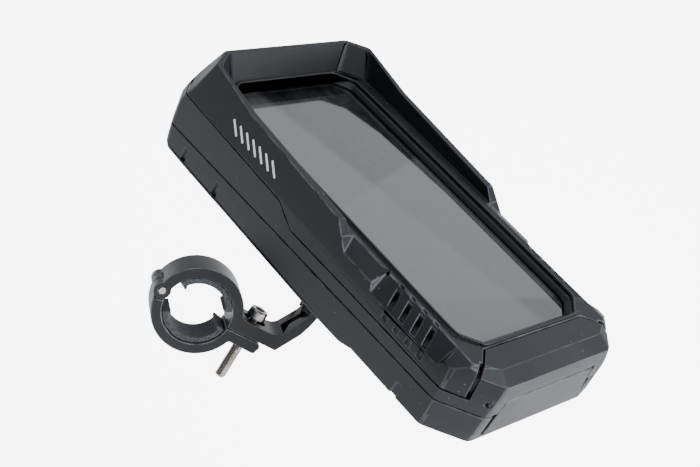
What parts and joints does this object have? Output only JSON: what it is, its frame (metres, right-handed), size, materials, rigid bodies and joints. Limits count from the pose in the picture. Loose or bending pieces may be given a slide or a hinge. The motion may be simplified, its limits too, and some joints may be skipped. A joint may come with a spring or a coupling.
{
  "type": "phone mount",
  "caption": "Hooded waterproof phone case for a handlebar, on a locking ball joint and a bent arm with a hinged two-piece tube clamp and a socket-head clamp screw.",
  "frame": {"origin": "Centre of the clamp ring, half-way along its width, on the axis of the tube that it grips.", "axes": "+X across the case towards its right side, +Y along the case towards the hood end, +Z out of the window; the clamp's tube axis leans against all three."},
  "size_m": [0.1343, 0.2086, 0.1197],
  "materials": {
    "case_shell": "satin charcoal moulding",
    "hood_shell": "satin charcoal moulding",
    "window_film": "clear glossy film",
    "rubber": "grey-black seal and shim rubber",
    "foam": "soft black foam",
    "black_metal": "black anodised casting",
    "steel": "plain stainless",
    "nylon": "black glass-filled nylon"
  },
  "bodies": {
    "arm": {"clamp_arm": "black_metal", "upper_shim": "rubber", "clamp_pin": "steel", "ball_stud": "steel"},
    "jaw": {"clamp_jaw": "black_metal", "lower_shim": "rubber"},
    "screw": {"clamp_screw": "steel"},
    "liner": {"ball_liner": "nylon"},
    "socket": {"ball_socket": "nylon", "swivel_retainer": "steel", "retainer_screw_1": "steel", "retainer_screw_2": "steel", "retainer_screw_3": "steel"},
    "ring": {"locking_ring": "nylon"},
    "rear": {"rear_shell": "case_shell", "lid_gasket": "rubber", "phone_tray": "nylon", "back_pad": "foam", "side_pad_right": "foam", "side_pad_left": "foam", "end_pad_top": "foam", "end_pad_bottom": "foam", "tray_screw_1": "steel", "tray_screw_2": "steel", "tray_screw_3": "steel", "tray_screw_4": "steel", "lid_hinge_pin": "steel"},
    "lid": {"lid_frame": "case_shell", "hood_bezel": "hood_shell", "window_film": "window_film", "film_seal": "rubber", "latch_pin": "steel", "cover_screw_1": "steel", "cover_screw_2": "steel", "cover_screw_3": "steel", "cover_screw_4": "steel", "cover_screw_5": "steel", "cover_screw_6": "steel"},
    "latch": {"latch_flap": "case_shell"}
  },
  "joints": [
    {"name": "clamp_hinge", "type": "hinge", "parent": "arm", "child": "jaw", "pos_m": [-0.01332, 0.01151, 0.00542], "axis": [0.5394, 0.7772, -0.3241], "range_deg": [0, 16]},
    {"name": "screw_travel", "type": "slide", "parent": "jaw", "child": "screw", "axis": [0.3699, 0.1271, 0.9204], "range_m": [0, 0.015]},
    {"name": "ball_pitch", "type": "hinge", "parent": "arm", "child": "liner", "pos_m": [0.04962, -0.02252, 0.02858], "axis": [-0.5394, -0.7772, 0.3241], "range_deg": [-25, 15]},
    {"name": "ball_roll", "type": "hinge", "parent": "liner", "child": "socket", "pos_m": [0.04962, -0.02252, 0.02858], "axis": [0.8216, -0.5701, 0.0002], "range_deg": [-38, 1]},
    {"name": "ring_turn", "type": "hinge", "parent": "socket", "child": "ring", "pos_m": [0.04962, -0.02252, 0.02858], "axis": [0, 0, 1], "range_deg": [0, 270]},
    {"name": "case_swivel", "type": "hinge", "parent": "socket", "child": "rear", "pos_m": [0.04962, -0.02252, 0.02858], "axis": [0, 0, 1], "continuous": true},
    {"name": "lid_hinge", "type": "hinge", "parent": "rear", "child": "lid", "pos_m": [0.0623, 0.0723, 0.04954], "axis": [-1, 0, 0], "range_deg": [0, 100]},
    {"name": "latch_hinge", "type": "hinge", "parent": "lid", "child": "latch", "pos_m": [0.0623, -0.1325, 0.0636], "axis": [-1, 0, 0], "range_deg": [0, 90]}
  ],
  "couplings": [
    {"joint": "screw_travel", "follows": "clamp_hinge", "m_per_rad": 0.05}
  ]
}
